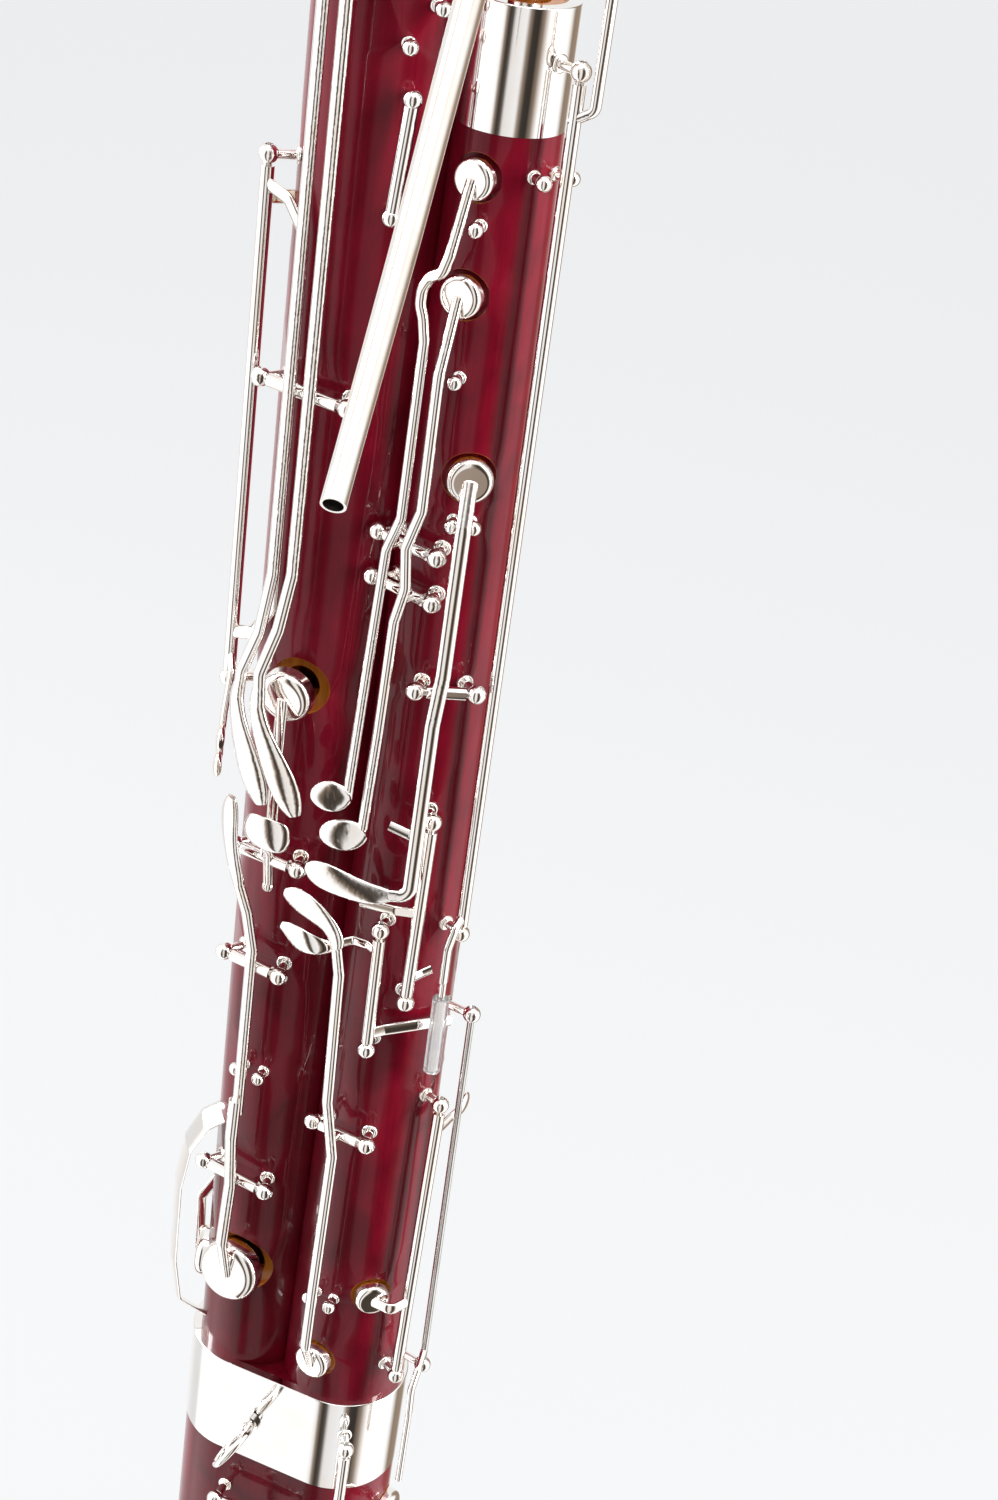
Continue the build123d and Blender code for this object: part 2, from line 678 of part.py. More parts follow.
# ---------------------------------------------------------------- strap ring on the boot band
ring_radius = 8.5
ring_wire = 1.2
ring_ball = Vector(-6, -26.2, 418)
ring_slant = Vector(-0.5, 0, -0.866)
ring_foot = Vector(-6, -boot_radius - metal_sheet + 0.38, 418)
with BuildPart() as strap_post:
    add(strut(ring_foot, ring_foot - Vector(0, 1.4, 0), 3.4))
    add(strut(ring_foot, ring_ball, 1.8))
    with Locations(ring_ball):
        Sphere(2.7)
    add(strut(ring_ball - ring_slant * 4, ring_ball + ring_slant * 4, 1.9), mode=Mode.SUBTRACT)
finish(strap_post.part, "strap_post")

ring_centre = ring_ball - Vector(0, ring_radius, 0)
with BuildPart() as strap_ring:
    with Locations(Plane(origin=ring_centre, z_dir=Vector(0, 1, 0).cross(ring_slant))):
        Torus(ring_radius, ring_wire)
finish(strap_ring.part, "strap_ring")

# ---------------------------------------------------------------- wing joint keys
def wing(angle, height, standoff):
    return spot("wing", angle, height, standoff)


def low(angle, height, standoff):
    return spot("long", angle, height, standoff)


hinge = hinges["upper_flick"]
loop_radius = 8.6
loop_angles = (15, 45, 75, 105, 130)
loop = []
for turn in loop_angles:
    aside = degrees(loop_radius / 27 * sin(radians(turn)))
    loop.append(wing(-92 - aside, 834.5 + loop_radius * cos(radians(turn)), 10.5))
route = [cup_top("upper_flick"), wing(-93.5, 848, 10.3), *loop, wing(-103, 823, 10.5), wing(-103, 772, 10.5),
         wing(-111, 761, 10.5), wing(-111, 735, 11.5), wing(-107, 683, 16)]
bends = (2, 3, 5, 5, 5, 4, 4, 3, 4, 6)
tip = [(wing(-104.5, 684.5, 16.2), 3, 2.4), (wing(-107.5, 684, 17), 7, 3.2),
       (wing(-112, 683.4, 18.6), 9.6, 3.2), (wing(-116.8, 682.8, 21), 8, 2.6), (wing(-119.8, 682.4, 22.6), 3, 1.4)]
key("upper_flick_key", [pad_cup("upper_flick"), arm("wing", route, slim_width, bend=bends),
                        touch("wing", tip), hinge_tube(hinge), saddle(hinge, wing(-110.5, 762, 10.5))], hinge)
pad("upper_flick")

hinge = hinges["middle_flick"]
route = [cup_top("middle_flick"), wing(-90.5, 815, 10.5), wing(-90, 776, 10.5), wing(-97, 764, 10.5),
         wing(-94, 752, 10.5), wing(-98.5, 741, 10.5), wing(-99, 706, 11), wing(-98.8, 674, 12.9)]
tip = [(wing(-96, 672.6, 12.6), 3, 2.4), (wing(-99.5, 672, 13.4), 7.5, 3.2),
       (wing(-105.5, 671, 15.4), 10, 3.2), (wing(-112, 670.2, 17.8), 8.6, 2.8), (wing(-116.2, 669.6, 19.4), 3.2, 1.4)]
key("middle_flick_key", [pad_cup("middle_flick"), arm("wing", route, slim_width, bend=2.5),
                         touch("wing", tip), hinge_tube(hinge), saddle(hinge, wing(-96, 748, 10.5))], hinge)
pad("middle_flick")

hinge = hinges["lower_flick"]
route = [cup_top("lower_flick"), wing(-64, 772, 10), wing(-64.5, 728, 10.5), wing(-67, 712, 11.4),
         wing(-67.5, 656, 14.2), wing(-88, 654.5, 14.8)]
tip = [(wing(-78, 655.5, 14.4), 4.6, 3), (wing(-90, 654.7, 15), 7.6, 3), (wing(-104, 655.5, 17), 9.4, 3),
       (wing(-116, 656.6, 20), 8, 2.6), (wing(-120, 657, 21.2), 3, 1.4)]
key("lower_flick_key", [pad_cup("lower_flick"), arm("wing", route, 4.4, bend=4), touch("wing", tip),
                        hinge_tube(hinge), saddle(hinge, wing(-64.5, 720, 10.5))], hinge)
pad("lower_flick")

hinge = hinges["c_sharp_thumb"]
route = [cup_top("c_sharp_thumb"), wing(-95.5, 470, 9.5), wing(-94.5, 495, 10.5), wing(-93.5, 552, 10.5),
         wing(-100.5, 572, 11.2), wing(-100.5, 622, 14), wing(-104.5, 638, 15.8)]
tip = [(wing(-102, 632, 15.2), 4.4, 3), (wing(-108, 638.5, 16.2), 7, 3), (wing(-117, 641.5, 18), 9, 3),
       (wing(-127, 643, 20.8), 7.6, 2.6), (wing(-131.5, 643, 22.6), 3, 1.4)]
key("c_sharp_thumb_key", [pad_cup("c_sharp_thumb"), arm("wing", route), touch("wing", tip),
                          hinge_tube(hinge), saddle(hinge, wing(-95.5, 557.5, 10.5))], hinge)
pad("c_sharp_thumb")

hinge = hinges["whisper_touch"]
route = [wing(-82.5, 630, 7.5), wing(-93, 630, 5.2), wing(-105.5, 629.5, 5.6), wing(-112, 628.5, 12)]
tip = [(wing(-110.8, 628.5, 11), 4, 2.6), (wing(-113, 628.5, 14.2), 6, 3), (wing(-118, 629, 17.5), 8.4, 3),
       (wing(-126, 630.5, 20.5), 7.4, 2.6), (wing(-131, 631.5, 22.6), 3, 1.4)]
lift_arm = [wing(-82, 600, 7.5), wing(-72, 600.5, 4.5), wing(-46, 602, 3.6), wing(-14, 600, 4.2)]
key("whisper_touch", [arm("wing", route, 3.2, 2.2, bend=2), touch("wing", tip),
                      arm("wing", lift_arm, 4, 2.0, bend=2), hinge_tube(hinge)], hinge)

hinge = hinges["whisper"]
vent_height = 934.0
finger_top, finger_end = wing(-38, 622, 10), wing(-38, 588, 10)
bridge = [wing(-24, 642, 7.0), wing(-33, 640, 9), wing(-38, 634, 10), finger_top]
reach = [Vector(36.6, -8.9, 884), Vector(42.8, -8.5, 888), Vector(42.8, -8.2, 925),
         Vector(38, -3, vent_height), Vector(26, 14.3, vent_height), Vector(wing_x, 15.6, vent_height)]
with BuildPart() as whisper_cup:
    with BuildSketch(Plane(origin=(wing_x, 12.2, vent_height), z_dir=(0, 1, 0))):
        Circle(4.0)
    extrude(amount=2.8)
    fillet(whisper_cup.edges().group_by(Axis.Y)[-1], 1.0)
    add(strut(Vector(wing_x, 12, vent_height), Vector(wing_x, 13.4, vent_height), 3.45), mode=Mode.SUBTRACT)
key("whisper_key", [hinge_tube(hinge, radius=1.85), arm("wing", reach, 3.2, 2.4, bend=2.5), whisper_cup.part,
                    arm("wing", bridge, 3.4, 2.4, bend=2), strut(finger_top, finger_end, 1.1)], hinge)
with BuildPart() as whisper_pad:
    with BuildSketch(Plane(origin=(wing_x, 11.5, vent_height), z_dir=(0, 1, 0))):
        Circle(3.4)
    extrude(amount=1.85)
finish(whisper_pad.part, "whisper_pad")
sleeve_run = (finger_end - finger_top).normalized()
with BuildPart() as whisper_sleeve:
    add(strut(finger_top + sleeve_run * 6, finger_end - sleeve_run * 0.5, 2.6))
    fillet(whisper_sleeve.edges(), 0.4)
    add(strut(finger_top, finger_end + sleeve_run * 2, 1.15), mode=Mode.SUBTRACT)
finish(whisper_sleeve.part, "whisper_sleeve")

hinge = hinges["lock_lever"]
upper_arm = [wing(-58.2, 671, 7.5), wing(-72, 672.5, 6.8), wing(-87, 674, 6.6)]
lower_arm = [wing(-59, 646, 7.5), wing(-75, 646, 7.2), wing(-100, 645.5, 7.6)]
stub = [wing(-59.8, 622, 7.5), wing(-50, 623, 5.6), wing(-43, 624, 5.4)]
key("lock_lever", [hinge_tube(hinge), arm("wing", upper_arm, 3.4, 2.2, bend=3),
                   arm("wing", lower_arm, 3.4, 2.2, bend=3), arm("wing", stub, 3.2, 2.0, bend=2)], hinge)

hinge = hinges["e_flat_trill"]
route = [cup_top("e_flat_trill"), wing(-42, 489.5, 8.6), wing(-27, 489.5, 7.2)]
reach = [wing(-22, 558, 7), wing(-13, 558, 5.6), wing(2, 558, 5.6), wing(12, 559, 7.6)]
tip = [(wing(7, 559, 6.8), 4, 2), (wing(13, 560, 8), 7, 2.4), (wing(19, 561, 8.6), 7, 2.4),
       (wing(22, 561.5, 8.6), 3, 1.4)]
key("e_flat_trill_key", [pad_cup("e_flat_trill"), arm("wing", route, 4.2, 2.4, bend=3), hinge_tube(hinge),
                         arm("wing", reach, 4, 2, bend=3), touch("wing", tip)], hinge)
pad("e_flat_trill")

hinge = hinges["e_link"]
plate = [wing(-6, 596, 9.5), wing(-9, 597, 9.5), wing(-16, 598, 8.0)]
drop = [wing(-8, 463, 9.5), wing(-20, 461, 12.5), wing(-27, 456, 14.5), wing(-27, 446, 14.8)]
key("e_link_key", [hinge_tube(hinge), arm("wing", plate, 4, 2, bend=1),
                   arm("wing", drop, 3.2, 2.4, bend=2),
                   strut(drop[3] + Vector(0, 0, 1), drop[3] - Vector(0, 0, 32), 1.1)], hinge)

# ---------------------------------------------------------------- long joint and bell keys
def open_key(name, pieces, hinge, angle):
    """Writes a key that stands open, with its pad, both turned off the seat by an angle."""
    with BuildPart() as metal:
        for piece in pieces:
            add(opened(piece, hinge, angle))
        add(strut(*along_rod(hinge, -1, -1), rod_radius + rod_fit), mode=Mode.SUBTRACT)
    finish(metal.part, name + "_key")
    pad(name, (hinge, angle))


open_angles = {
    "low_c": 6.0,
    "low_d": -6.5,
    "low_b": 11.0,
    "low_b_flat": 7.5,
    "low_e": -7.0,
    "g": -8.0,
}

hinge = hinges["low_b_flat_lever"]
route = [low(-104, 978, 8.2), low(-104, 745, 8.2), low(-106, 727, 10.5), low(-111.5, 714, 13),
         low(-110.5, 704, 14.5)]
tip = [(low(-111.3, 710, 13.6), 4, 3), (low(-108, 699, 15), 6.4, 3), (low(-101, 690, 15.6), 8.4, 3),
       (low(-95.5, 681, 15), 8.4, 2.8), (low(-92, 674, 14), 4, 1.6)]
key("low_b_flat_lever", [arm("long", route, 3.8, bend=5), touch("long", tip),
                         saddle(hinge, low(-104, 800, 8.2), 1.8), hinge_tube(hinge, 3.1, 14.1)], hinge)

route = [low(-91.5, 918, 8.2), low(-91.5, 747, 8.2), low(-93, 731, 12), low(-98, 717, 15),
         low(-96, 707, 16)]
tip = [(low(-97.2, 713, 15.4), 4, 3), (low(-92.5, 699, 16.3), 6.4, 3), (low(-85.5, 690, 16.4), 8.4, 3),
       (low(-79, 680, 15.2), 8.4, 2.8), (low(-75, 673, 13.8), 4, 1.6)]
key("low_b_lever", [arm("long", route, 3.8, bend=5), touch("long", tip),
                    saddle(hinge, low(-91.5, 800, 8.2), 1.8), hinge_tube(hinge, 15.3, 3.1)], hinge)

hinge = hinges["low_b"]
route = [low(-91.5, 914, 14.8), low(-89, 924, 13.4), low(-70, 934, 10.4), cup_top("low_b")]
open_key("low_b", [pad_cup("low_b"), arm("long", route, 3.8, 2.6, bend=3), hinge_tube(hinge),
                   saddle(hinge, low(-76, 930.5, 10.6))], hinge, open_angles["low_b"])

hinge = hinges["low_b_flat"]
route = [spot("bell", -104, 971, 16.5), spot("bell", -104, 1010, 11.8), spot("bell", -104, 1034, 10.5),
         cup_top("low_b_flat")]
open_key("low_b_flat", [pad_cup("low_b_flat"), arm("bell", route, 4, 2.8, bend=4), hinge_tube(hinge),
                        saddle(hinge, spot("bell", -104, 1010, 11.2))], hinge, open_angles["low_b_flat"])

hinge = hinges["low_c"]
route = [low(-94, 650.5, 6.4), low(-91, 664, 5.2), low(-88.5, 690, 5.6), cup_top("low_c")]
stem = [low(-91, 641, 6.5), low(-91, 653, 7.0), low(-90, 664, 12.0)]
plate = [(low(-100.5, 666, 11.4), 4, 1.6), (low(-98, 665.5, 12), 9.5, 2.4), (low(-88, 665, 12.4), 12, 2.6),
         (low(-79, 664, 11.6), 10.5, 2.4), (low(-76, 664, 11), 4, 1.6)]
open_key("low_c", [pad_cup("low_c"), arm("long", route, 3.8, 2.4, bend=4),
                   arm("long", stem, 3.4, 2.4, bend=2), touch("long", plate), hinge_tube(hinge), knob(low(-91, 640.5, 6.5), 1.9)],
         hinge, open_angles["low_c"])

hinge = hinges["low_d_lever"]
route = [low(-95, 553.5, 8.2), low(-95, 618, 8.4), low(-98, 632, 10.6), low(-106, 648, 13.2)]
tip = [(low(-103, 642, 12.2), 4, 2.8), (low(-106, 650, 13.4), 5.4, 2.8), (low(-108.5, 660, 14.4), 6.4, 2.8),
       (low(-108, 669, 15.2), 6, 2.6), (low(-107, 673, 15.6), 3, 1.6)]
key("low_d_lever", [arm("long", route, bend=6), touch("long", tip), hinge_tube(hinge),
                    saddle(hinge, low(-95, 610.5, 8.4))], hinge)

hinge = hinges["low_d"]
route = [low(-94, 560, 15.8), low(-94, 545, 14.4), low(-94, 524, 9.5), low(-94, 500, 8.6), cup_top("low_d")]
open_key("low_d", [pad_cup("low_d"), arm("long", route, 4.2, 3.0, bend=5), hinge_tube(hinge),
                   saddle(hinge, low(-94, 524, 9.5))], hinge, open_angles["low_d"])

hinge = hinges["c_sharp"]
side_arm = [low(-140, 846, 8.5), low(-155, 845, 8.6), low(-172, 843, 8.0), cup_top("c_sharp")]
rail = [low(-138, 852, 8), low(-126, 850, 4.6), low(-114.5, 842, 2.4), low(-114.5, 730, 2.4),
        low(-126, 720, 4.6), low(-138, 718, 8)]
reach = [low(-138.5, 710, 8.5), low(-130.5, 707, 9.5), low(-129.5, 694, 11), low(-129.5, 676, 11.8)]
upper = [(low(-133, 687, 10.8), 4, 2.4), (low(-128, 686.5, 12), 8, 2.6), (low(-123, 686, 13.6), 7.4, 2.6),
         (low(-120.5, 686, 14.2), 3, 1.4)]
lower = [(low(-133, 678, 10.8), 4, 2.4), (low(-129, 677.5, 12.2), 7.6, 2.6), (low(-124, 677, 13.6), 7.4, 2.6),
         (low(-121, 677, 14), 3, 1.4)]
key("c_sharp_key", [pad_cup("c_sharp"), hinge_tube(hinge), arm("long", side_arm, 4.2, 2.4, bend=3),
                    arm("long", rail, 4.0, 2.0, bend=3), arm("long", reach, 3.2, 2.2, bend=2),
                    touch("long", upper), touch("long", lower)], hinge)
pad("c_sharp")

hinge = hinges["e_flat"]
side_arm = [low(150, 491, 8), low(170, 482, 9.2), cup_top("e_flat")]
reach = [low(150, 661.5, 8), low(140, 664, 9.5), low(126, 668, 12)]
tip = [(low(134, 666, 10.6), 4.4, 2.4), (low(124, 669, 12), 8, 2.6), (low(114, 672, 12.4), 8.4, 2.6),
       (low(107, 674, 12), 4, 1.6)]
key("e_flat_key", [pad_cup("e_flat"), hinge_tube(hinge), arm("long", side_arm, 4.2, 2.4, bend=2.5),
                   arm("long", reach, 4, 2.4, bend=3), touch("long", tip)], hinge)
pad("e_flat")

guard_route = [low(-139, 538, -0.8), low(-142, 534, 5), low(-150, 521, 9.5), low(-161, 500, 12),
               low(-161, 466, 12), low(-153, 451, 9), low(-143, 447, -0.8)]
with BuildPart() as key_guard:
    add(arm("long", guard_route, 9, 1.4, bend=3))
    add(long_blank, mode=Mode.SUBTRACT)
finish(key_guard.part, "key_guard")

# ---------------------------------------------------------------- boot keys
def front(x, height, standoff):
    return spot("boot", x, height, -standoff)


def back(x, height, standoff):
    return spot("boot", x, height, standoff)


hinge = hinges["b_flat_thumb"]
side_arm = [spot("wing_lobe", -60, 395, 7), spot("wing_lobe", -42, 392, 8), spot("wing_lobe", -16, 385, 9),
            cup_top("b_flat_thumb")]
reach = [front(31.5, 272, 7), front(24, 270, 9), front(17, 268, 11)]
tip = [(front(20, 269, 10), 4, 2.4), (front(14, 267, 11), 9, 2.6), (front(8, 266, 11), 9, 2.6),
       (front(5, 266, 10.6), 4, 1.6)]
key("b_flat_thumb_key", [pad_cup("b_flat_thumb"), hinge_tube(hinge), touch("boot", tip),
                         arm("boot", side_arm, 4, 2.4, bend=4), arm("boot", reach, 3.8, 2.4, bend=3)], hinge)
pad("b_flat_thumb")

hinge = hinges["low_e"]
route = [front(0, 388, 9.5), front(0, 368, 10.4), front(0, 340, 10.6), front(0, 322, 9.4)]
pancake = [(front(0, 330, 9), 6, 2), (front(0, 325, 9), 16, 2.4), (front(0, 315, 9), 21, 2.4),
           (front(0, 305, 9), 16, 2.4), (front(0, 300, 9), 6, 1.6)]
open_key("low_e", [pad_cup("low_e"), arm("boot", route, 4.4, 3, bend=6), touch("boot", pancake),
                   hinge_tube(hinge), strut(cup_top("low_e"), front(0, 352, 10.4), 2.4)],
         hinge, open_angles["low_e"])

hinge = hinges["f_sharp_thumb"]
route = [cup_top("f_sharp_thumb"), front(0, 124, 10.6), front(0, 172, 10.6), front(0, 196, 11)]
tip = [(front(0, 190, 10.8), 4.4, 2.8), (front(0, 200, 11), 9, 2.8), (front(0, 212, 11.4), 10, 2.6),
       (front(0, 221, 11.4), 7, 2.2), (front(0, 224, 11.2), 3, 1.4)]
key("f_sharp_thumb_key", [pad_cup("f_sharp_thumb"), arm("boot", route, 4, 2.8, bend=4), touch("boot", tip),
                          hinge_tube(hinge), saddle(hinge, front(0, 150, 10.6))], hinge)
pad("f_sharp_thumb")

hinge = hinges["g"]
side_arm = [back(17, 222, 8), back(9, 222, 9.6), cup_top("g")]
reach = [back(17, 132, 8), back(8, 132, 11), back(2, 132, 12.6)]
tip = [(back(6, 132, 11.4), 4, 2.4), (back(0, 132, 12.8), 12, 2.6), (back(-8, 132, 12.8), 12, 2.6),
       (back(-12, 132, 12.4), 5, 1.6)]
open_key("g", [pad_cup("g"), arm("boot", side_arm, 4.2, 2.6, bend=2.5), hinge_tube(hinge),
               arm("boot", reach, 4, 2.6, bend=3), touch("boot", tip)], hinge, open_angles["g"])

# ---------------------------------------------------------------- body lock between the wing and long joints
lock_low, lock_high = Vector(-2.6, -24.2, 853), Vector(-1.0, -22.6, 884)
with BuildPart() as body_lock:
    add(strut(lock_low, lock_high, 2.0))
    for end in (lock_low, lock_high):
        add(strut(end - foot_direction("long", end) * 8, end, stem_radius))
        with Locations(end):
            Sphere(2.6)
    add(long_blank, mode=Mode.SUBTRACT)
finish(body_lock.part, "body_lock")
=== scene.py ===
import math

import bmesh
import bpy
from mathutils import Matrix, Vector

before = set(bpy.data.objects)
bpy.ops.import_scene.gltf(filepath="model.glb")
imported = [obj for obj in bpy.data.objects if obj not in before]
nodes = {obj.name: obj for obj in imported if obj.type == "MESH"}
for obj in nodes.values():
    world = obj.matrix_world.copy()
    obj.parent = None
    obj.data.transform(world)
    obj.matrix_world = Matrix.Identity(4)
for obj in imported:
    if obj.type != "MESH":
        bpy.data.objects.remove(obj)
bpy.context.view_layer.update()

scene = bpy.context.scene
scene.view_settings.view_transform = "Standard"

# ---------------------------------------------------------------- camera
CAMERA_AT = Vector((0.2455, -0.5961, 1.0587))
CAMERA_RIGHT = Vector((0.9105, 0.3927, 0.1291))
CAMERA_UP = Vector((-0.3018, 0.4179, 0.8568))
FRAME_TALL = 36.0
LENS = 59.5

camera = bpy.data.objects.new("camera", bpy.data.cameras.new("camera"))
scene.collection.objects.link(camera)
camera.data.sensor_fit = "VERTICAL"
camera.data.sensor_height = FRAME_TALL
camera.data.lens = LENS
camera.data.clip_start = 0.01
back = CAMERA_RIGHT.cross(CAMERA_UP).normalized()
camera.matrix_world = Matrix((
    (CAMERA_RIGHT.x, CAMERA_UP.x, back.x, CAMERA_AT.x),
    (CAMERA_RIGHT.y, CAMERA_UP.y, back.y, CAMERA_AT.y),
    (CAMERA_RIGHT.z, CAMERA_UP.z, back.z, CAMERA_AT.z),
    (0, 0, 0, 1)))
scene.camera = camera


# ---------------------------------------------------------------- node helpers
# Socket numbers of a Mix node that mixes colours.
COLOUR_MIX = {"factor": 0, "a": 6, "b": 7, "result": 2}


def fill_ramp(ramp, stops):
    """Sets a colour ramp's stops, given in rising order."""
    ramp.elements.remove(ramp.elements[1])
    first = ramp.elements[0]
    first.position = stops[0][0]
    first.color = (*stops[0][1], 1)
    for at, colour in stops[1:]:
        ramp.elements.new(at).color = (*colour, 1)


class Shader:
    """A material's node tree with short ways to add to it."""

    def __init__(self, name):
        self.material = bpy.data.materials.new(name)
        self.material.use_nodes = True
        self.tree = self.material.node_tree
        self.surface = self.tree.nodes["Principled BSDF"]
        self.place = self.add("ShaderNodeTexCoord").outputs["Object"]

    def add(self, kind, **settings):
        node = self.tree.nodes.new(kind)
        for key, value in settings.items():
            setattr(node, key, value)
        return node

    def link(self, source, target):
        self.tree.links.new(source, target)

    def set(self, **values):
        for key, value in values.items():
            self.surface.inputs[key.replace("_", " ")].default_value = value

    def stretched(self, stretch):
        mapping = self.add("ShaderNodeMapping")
        mapping.inputs["Scale"].default_value = stretch
        self.link(self.place, mapping.inputs["Vector"])
        return mapping.outputs["Vector"]

    def noise(self, scale, stretch=(1, 1, 1), detail=4.0, rough=0.5, warp=0.0):
        node = self.add("ShaderNodeTexNoise")
        node.inputs["Scale"].default_value = scale
        node.inputs["Detail"].default_value = detail
        node.inputs["Roughness"].default_value = rough
        node.inputs["Distortion"].default_value = warp
        self.link(self.stretched(stretch), node.inputs["Vector"])
        return node.outputs["Fac"]

    def ramp(self, source, stops):
        node = self.add("ShaderNodeValToRGB")
        fill_ramp(node.color_ramp, stops)
        self.link(source, node.inputs["Fac"])
        return node.outputs["Color"]

    def math(self, operation, a, b=None, clamp=False):
        node = self.add("ShaderNodeMath", operation=operation, use_clamp=clamp)
        for index, value in enumerate((a, b)):
            if value is None:
                continue
            if isinstance(value, (int, float)):
                node.inputs[index].default_value = value
            else:
                self.link(value, node.inputs[index])
        return node.outputs[0]

    def vector(self, operation, a, b=None):
        node = self.add("ShaderNodeVectorMath", operation=operation)
        for index, value in enumerate((a, b)):
            if value is None:
                continue
            if isinstance(value, (tuple, Vector)):
                node.inputs[index].default_value = value
            else:
                self.link(value, node.inputs[index])
        return node.outputs["Value"] if operation in ("DOT_PRODUCT", "LENGTH") else node.outputs["Vector"]

    def mix(self, factor, a, b):
        node = self.add("ShaderNodeMix", data_type="RGBA")
        for index, value in ((COLOUR_MIX["factor"], factor), (COLOUR_MIX["a"], a), (COLOUR_MIX["b"], b)):
            if isinstance(value, (int, float)):
                node.inputs[index].default_value = value
            elif isinstance(value, tuple):
                node.inputs[index].default_value = (*value, 1)
            else:
                self.link(value, node.inputs[index])
        return node.outputs[COLOUR_MIX["result"]]

    def scaled(self, source, low, high):
        node = self.add("ShaderNodeMapRange")
        node.inputs["To Min"].default_value = low
        node.inputs["To Max"].default_value = high
        self.link(source, node.inputs["Value"])
        return node.outputs["Result"]

    def spread(self, value):
        """A vector with the same value on all three axes."""
        node = self.add("ShaderNodeCombineXYZ")
        for index in range(3):
            self.link(value, node.inputs[index])
        return node.outputs["Vector"]

    def bump(self, source, distance, strength=1.0):
        node = self.add("ShaderNodeBump")
        node.inputs["Distance"].default_value = distance
        node.inputs["Strength"].default_value = strength
        self.link(source, node.inputs["Height"])
        self.link(node.outputs["Normal"], self.surface.inputs["Normal"])


# ---------------------------------------------------------------- wood
# Metres. Each seat: bearing in degrees, height, pad radius.
BORE = 0.017
BOOT_RADIUS = 0.022
SEATS = {
    "wing_body": [(-94, 0.866, 0.0050), (-92, 0.8345, 0.0054), (-61.5, 0.7835, 0.0059),
                  (-97, 0.4575, 0.0055), (-52, 0.4895, 0.0050)],
    "long_body": [(-88, 0.708, 0.0074), (-93, 0.484, 0.0100), (-62, 0.950, 0.0086), (172, 0.842, 0.0065),
                  (-163, 0.470, 0.0080)],
    "bell_body": [(-104, 1.050, 0.0095)],
    "boot_body": [(-90, 0.352, 0.0095), (-90, 0.112, 0.0070), (90, 0.222, 0.0105), (0, 0.380, 0.0065)],
}
AXIS_X = {"wing_body": BORE, "long_body": -BORE, "bell_body": -BORE, "boot_body": 0.0}
SEAT_EDGE = 0.00165
BARE_DEPTH = 0.008
# Radius of each joint's wood that never carries lacquer: its bore, sockets and tenons.
CORE = {"wing_body": 0.0130, "long_body": 0.0168, "bell_body": 0.0178, "boot_body": 0.0}


def lacquered(name, seats, axis_x, core):
    """Cherry-red lacquer over figured maple, with bare amber wood in the recesses under the pads."""
    s = Shader(name)
    fibre = s.noise(900, (1, 1, 0.035), 5, 0.6)
    figure = s.noise(70, (1, 1, 0.55), 3, 0.5, 0.8)
    flow = s.noise(9, (1, 1, 0.3), 2)
    tone = s.math("ADD", s.math("MULTIPLY", figure, 0.55), s.math("MULTIPLY", fibre, 0.25))
    tone = s.math("ADD", tone, s.math("MULTIPLY", flow, 0.35), clamp=True)
    red = s.ramp(tone, [(0.36, (0.110, 0.0014, 0.0085)), (0.58, (0.225, 0.0034, 0.0185)),
                        (0.78, (0.340, 0.0070, 0.0310))])
    grain = s.noise(500, (1, 1, 0.05), 6, 0.65)
    amber = s.ramp(grain, [(0.3, (0.42, 0.115, 0.010)), (0.55, (0.60, 0.21, 0.022)),
                           (0.8, (0.70, 0.30, 0.05))])
    level = s.vector("MULTIPLY", s.vector("SUBTRACT", s.place, (axis_x, 0, 0)), (1, 1, 0))
    bare = s.math("LESS_THAN", s.vector("LENGTH", level), core)
    for angle, height, pad_radius in seats:
        turn = math.radians(angle)
        out = Vector((math.cos(turn), math.sin(turn), 0))
        lobe = BORE if (axis_x == 0 and angle == 0) else axis_x
        surface = Vector((lobe, 0, height)) + out * BOOT_RADIUS
        away = s.vector("SUBTRACT", s.place, surface)
        depth = s.vector("DOT_PRODUCT", away, out)
        across = s.vector("SUBTRACT", away, s.vector("MULTIPLY", s.spread(depth), out))
        inside = s.math("LESS_THAN", s.vector("LENGTH", across), pad_radius + SEAT_EDGE)
        near = s.math("GREATER_THAN", depth, -BARE_DEPTH)
        bare = s.math("MAXIMUM", bare, s.math("MULTIPLY", inside, near))
    s.link(s.mix(bare, red, amber), s.surface.inputs["Base Color"])
    s.link(s.scaled(fibre, 0.30, 0.42), s.surface.inputs["Roughness"])
    s.set(Coat_Weight=0.8, Coat_Roughness=0.03, Coat_IOR=1.28, IOR=1.35, Specular_IOR_Level=0.2)
    s.bump(s.math("ADD", s.math("MULTIPLY", fibre, 0.3), flow), 0.00006, 0.35)
    return s.material


# ---------------------------------------------------------------- metals
def plated(name, colour, tarnish, rough, smear=0.05):
    """Polished plating: faint hairlines, finger smears and a warmer tone where it has dulled."""
    s = Shader(name)
    cloud = s.noise(60, (1, 1, 1), 4, 0.55)
    hair = s.noise(1500, (1, 1, 0.05), 3, 0.7)
    dull = s.ramp(cloud, [(0.42, (0, 0, 0)), (0.72, (1, 1, 1))])
    s.link(s.mix(dull, colour, tarnish), s.surface.inputs["Base Color"])
    s.link(s.math("ADD", s.scaled(cloud, rough, rough + smear), s.math("MULTIPLY", hair, 0.03)),
           s.surface.inputs["Roughness"])
    s.set(Metallic=1.0)
    s.bump(hair, 0.000008, 0.25)
    return s.material


